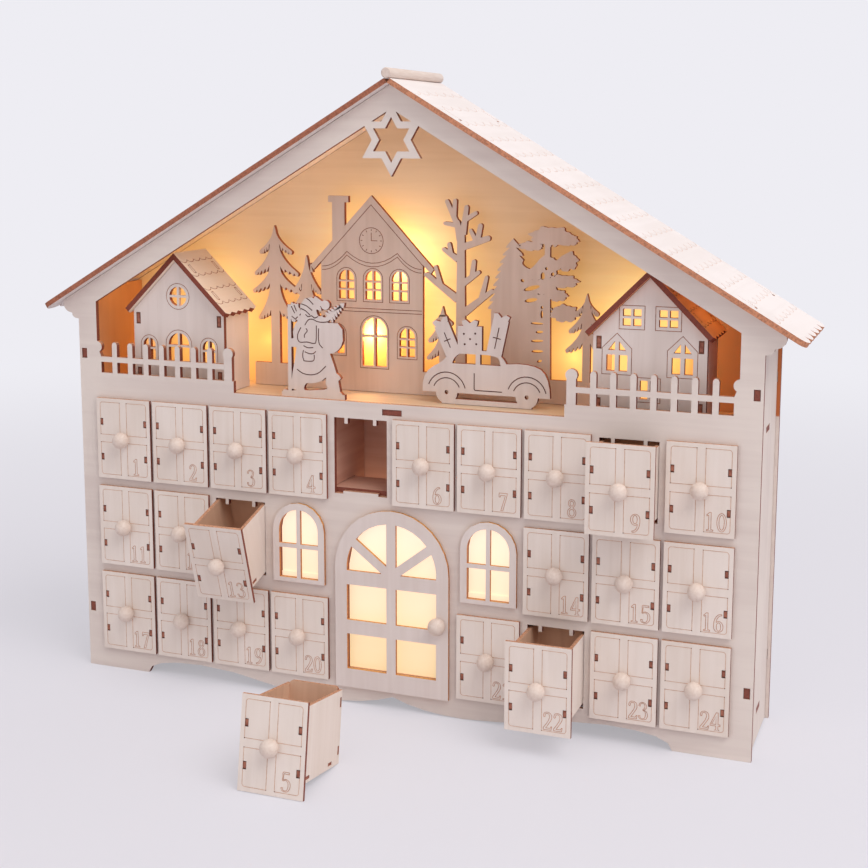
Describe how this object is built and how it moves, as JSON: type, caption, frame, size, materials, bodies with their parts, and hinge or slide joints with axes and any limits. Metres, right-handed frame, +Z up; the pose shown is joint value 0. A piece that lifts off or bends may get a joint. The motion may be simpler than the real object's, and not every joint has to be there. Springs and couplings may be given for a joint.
{
  "type": "wooden advent calendar house",
  "caption": "Laser-cut plywood house with a grid of sliding drawers, an arched door and a lit winter scene in its open gable.",
  "frame": {"origin": "under the middle of the whole part, at the height of the surface it stands on", "axes": "+X to the right of the house front, +Y to its back, +Z up"},
  "size_m": [0.4682, 0.2104, 0.3755],
  "materials": {
    "birch_ply": "bare laser-cut birch plywood with burnt brown edges",
    "opal_sheet": "thin opal sheet that glows warm white",
    "white_plastic": "plain moulded plastic"
  },
  "bodies": {
    "house": {"front_panel": "birch_ply", "back_panel": "birch_ply", "side_panel_left": "birch_ply", "side_panel_right": "birch_ply", "roof_panel_left": "birch_ply", "roof_panel_right": "birch_ply", "ridge_dowel": "birch_ply", "scene_floor": "birch_ply", "base_board": "birch_ply", "inner_board": "birch_ply", "divider_1": "birch_ply", "divider_2": "birch_ply", "divider_3": "birch_ply", "divider_4": "birch_ply", "divider_5": "birch_ply", "divider_6": "birch_ply", "divider_7": "birch_ply", "divider_8": "birch_ply", "divider_9": "birch_ply", "shelf_upper": "birch_ply", "shelf_lower_left": "birch_ply", "shelf_lower_right": "birch_ply", "entrance_door": "birch_ply", "window_left": "birch_ply", "window_right": "birch_ply", "light_diffuser": "opal_sheet", "village": "birch_ply", "gift_bringer": "birch_ply", "car": "birch_ply", "cottage_left_walls": "birch_ply", "cottage_left_roof": "birch_ply", "cottage_right_walls": "birch_ply", "cottage_right_roof": "birch_ply", "battery_box": "white_plastic"},
    "drawer_01": {"drawer_01": "birch_ply"},
    "drawer_02": {"drawer_02": "birch_ply"},
    "drawer_03": {"drawer_03": "birch_ply"},
    "drawer_04": {"drawer_04": "birch_ply"},
    "drawer_05": {"drawer_05": "birch_ply"},
    "drawer_06": {"drawer_06": "birch_ply"},
    "drawer_07": {"drawer_07": "birch_ply"},
    "drawer_08": {"drawer_08": "birch_ply"},
    "drawer_09": {"drawer_09": "birch_ply"},
    "drawer_10": {"drawer_10": "birch_ply"},
    "drawer_11": {"drawer_11": "birch_ply"},
    "drawer_12": {"drawer_12": "birch_ply"},
    "drawer_13": {"drawer_13": "birch_ply"},
    "drawer_14": {"drawer_14": "birch_ply"},
    "drawer_15": {"drawer_15": "birch_ply"},
    "drawer_16": {"drawer_16": "birch_ply"},
    "drawer_17": {"drawer_17": "birch_ply"},
    "drawer_18": {"drawer_18": "birch_ply"},
    "drawer_19": {"drawer_19": "birch_ply"},
    "drawer_20": {"drawer_20": "birch_ply"},
    "drawer_21": {"drawer_21": "birch_ply"},
    "drawer_22": {"drawer_22": "birch_ply"},
    "drawer_23": {"drawer_23": "birch_ply"},
    "drawer_24": {"drawer_24": "birch_ply"},
    "battery_lid": {"battery_lid": "white_plastic"},
    "switch_slider": {"switch_slider": "white_plastic"}
  },
  "joints": [
    {"name": "drawer_01_slide", "type": "slide", "parent": "house", "child": "drawer_01", "axis": [0, -1, 0], "range_m": [0, 0.0408]},
    {"name": "drawer_02_slide", "type": "slide", "parent": "house", "child": "drawer_02", "axis": [0, -1, 0], "range_m": [0, 0.0408]},
    {"name": "drawer_03_slide", "type": "slide", "parent": "house", "child": "drawer_03", "axis": [0, -1, 0], "range_m": [0, 0.0408]},
    {"name": "drawer_04_slide", "type": "slide", "parent": "house", "child": "drawer_04", "axis": [0, -1, 0], "range_m": [0, 0.0408]},
    {"name": "drawer_05_lift", "type": "slide", "parent": "house", "child": "drawer_05", "axis": [0, 0, 1], "range_m": [0, 0.06]},
    {"name": "drawer_06_slide", "type": "slide", "parent": "house", "child": "drawer_06", "axis": [0, -1, 0], "range_m": [0, 0.0408]},
    {"name": "drawer_07_slide", "type": "slide", "parent": "house", "child": "drawer_07", "axis": [0, -1, 0], "range_m": [0, 0.0408]},
    {"name": "drawer_08_slide", "type": "slide", "parent": "house", "child": "drawer_08", "axis": [0, -1, 0], "range_m": [0, 0.0408]},
    {"name": "drawer_09_slide", "type": "slide", "parent": "house", "child": "drawer_09", "axis": [0, -1, 0], "range_m": [-0.018, 0.0228]},
    {"name": "drawer_10_slide", "type": "slide", "parent": "house", "child": "drawer_10", "axis": [0, -1, 0], "range_m": [0, 0.0408]},
    {"name": "drawer_11_slide", "type": "slide", "parent": "house", "child": "drawer_11", "axis": [0, -1, 0], "range_m": [0, 0.0408]},
    {"name": "drawer_12_slide", "type": "slide", "parent": "house", "child": "drawer_12", "axis": [0, -1, 0], "range_m": [0, 0.0408]},
    {"name": "drawer_13_tip", "type": "hinge", "parent": "house", "child": "drawer_13", "pos_m": [-0.1, 0.03247, 0.076], "axis": [1, 0, 0], "range_deg": [-16.5, 0]},
    {"name": "drawer_14_slide", "type": "slide", "parent": "house", "child": "drawer_14", "axis": [0, -1, 0], "range_m": [0, 0.0408]},
    {"name": "drawer_15_slide", "type": "slide", "parent": "house", "child": "drawer_15", "axis": [0, -1, 0], "range_m": [0, 0.0408]},
    {"name": "drawer_16_slide", "type": "slide", "parent": "house", "child": "drawer_16", "axis": [0, -1, 0], "range_m": [0, 0.0408]},
    {"name": "drawer_17_slide", "type": "slide", "parent": "house", "child": "drawer_17", "axis": [0, -1, 0], "range_m": [0, 0.0408]},
    {"name": "drawer_18_slide", "type": "slide", "parent": "house", "child": "drawer_18", "axis": [0, -1, 0], "range_m": [0, 0.0408]},
    {"name": "drawer_19_slide", "type": "slide", "parent": "house", "child": "drawer_19", "axis": [0, -1, 0], "range_m": [0, 0.0155]},
    {"name": "drawer_20_slide", "type": "slide", "parent": "house", "child": "drawer_20", "axis": [0, -1, 0], "range_m": [0, 0.0408]},
    {"name": "drawer_21_slide", "type": "slide", "parent": "house", "child": "drawer_21", "axis": [0, -1, 0], "range_m": [0, 0.0408]},
    {"name": "drawer_22_slide", "type": "slide", "parent": "house", "child": "drawer_22", "axis": [0, -1, 0], "range_m": [-0.032, 0.0088]},
    {"name": "drawer_23_slide", "type": "slide", "parent": "house", "child": "drawer_23", "axis": [0, -1, 0], "range_m": [0, 0.0408]},
    {"name": "drawer_24_slide", "type": "slide", "parent": "house", "child": "drawer_24", "axis": [0, -1, 0], "range_m": [0, 0.0408]},
    {"name": "battery_lid_pull", "type": "slide", "parent": "house", "child": "battery_lid", "axis": [0, 1, 0], "range_m": [0, 0.02]},
    {"name": "switch_slide", "type": "slide", "parent": "house", "child": "switch_slider", "axis": [1, 0, 0], "range_m": [0, 0.004]}
  ]
}
